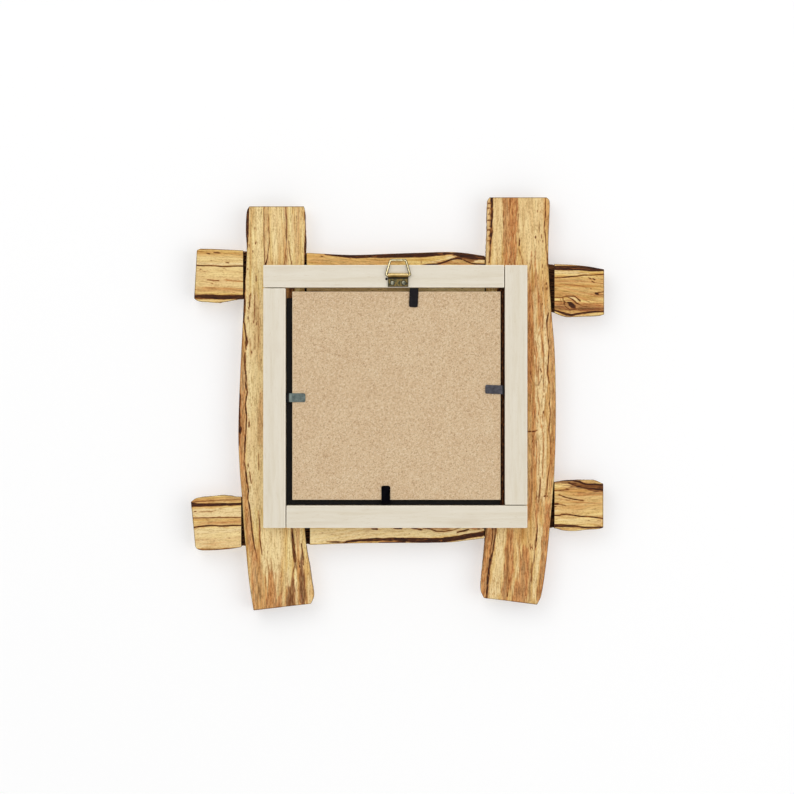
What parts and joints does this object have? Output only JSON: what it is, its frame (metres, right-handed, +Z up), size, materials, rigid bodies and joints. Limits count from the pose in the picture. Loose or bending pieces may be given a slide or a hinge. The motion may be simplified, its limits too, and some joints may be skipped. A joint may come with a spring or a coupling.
{
  "type": "picture frame",
  "caption": "Rustic picture frame of live-edge planks halved together at overrunning corners, with a glazed rear well, bent retaining tabs and a wire hanging ring.",
  "frame": {"origin": "inside the top of the hanging ring, on the wire's centre plane, where a wall hook carries the frame", "axes": "+Z up as it hangs, -Y out of the front towards the viewer, +Y towards the wall, +X to the right of a viewer before the front"},
  "size_m": [0.2529, 0.0268, 0.2528],
  "materials": {
    "post_wood": "satin",
    "rail_wood": "satin",
    "strip_wood": "matt",
    "glass": "gloss",
    "black_mat": "matt",
    "blank_sheet": "matt",
    "hardboard": "matt",
    "black_steel": "satin",
    "brassed_strap": "satin",
    "brassed_wire": "gloss",
    "nail": "satin"
  },
  "bodies": {
    "frame": {"left_post": "post_wood", "right_post": "post_wood", "top_rail": "rail_wood", "bottom_rail": "rail_wood", "strip_top": "strip_wood", "strip_bottom": "strip_wood", "strip_left": "strip_wood", "strip_right": "strip_wood", "glass_pane": "glass", "mat_board": "black_mat", "picture_sheet": "blank_sheet", "backing_board": "hardboard", "tab_tangs": "black_steel", "hanger_strap": "brassed_strap", "hanger_nails": "nail"},
    "top_tab": {"top_tab": "black_steel"},
    "bottom_tab": {"bottom_tab": "black_steel"},
    "left_tab": {"left_tab": "black_steel"},
    "right_tab": {"right_tab": "black_steel"},
    "ring": {"hanger_ring": "brassed_wire"}
  },
  "joints": [
    {"name": "ring_swing", "type": "hinge", "parent": "frame", "child": "ring", "pos_m": [0, 0, -0.0089], "axis": [-1, 0, 0], "range_deg": [0, 150]},
    {"name": "top_tab_bend", "type": "hinge", "parent": "frame", "child": "top_tab", "pos_m": [-0.0098, -0.00416, -0.0167], "axis": [1, 0, 0], "range_deg": [0, 90]},
    {"name": "bottom_tab_bend", "type": "hinge", "parent": "frame", "child": "bottom_tab", "pos_m": [0.0075, -0.00416, -0.1485], "axis": [-1, 0, 0], "range_deg": [0, 90]},
    {"name": "left_tab_bend", "type": "hinge", "parent": "frame", "child": "left_tab", "pos_m": [-0.0646, -0.00416, -0.0786], "axis": [0, 0, 1], "range_deg": [0, 90]},
    {"name": "right_tab_bend", "type": "hinge", "parent": "frame", "child": "right_tab", "pos_m": [0.068, -0.00416, -0.0833], "axis": [0, 0, -1], "range_deg": [0, 90]}
  ]
}
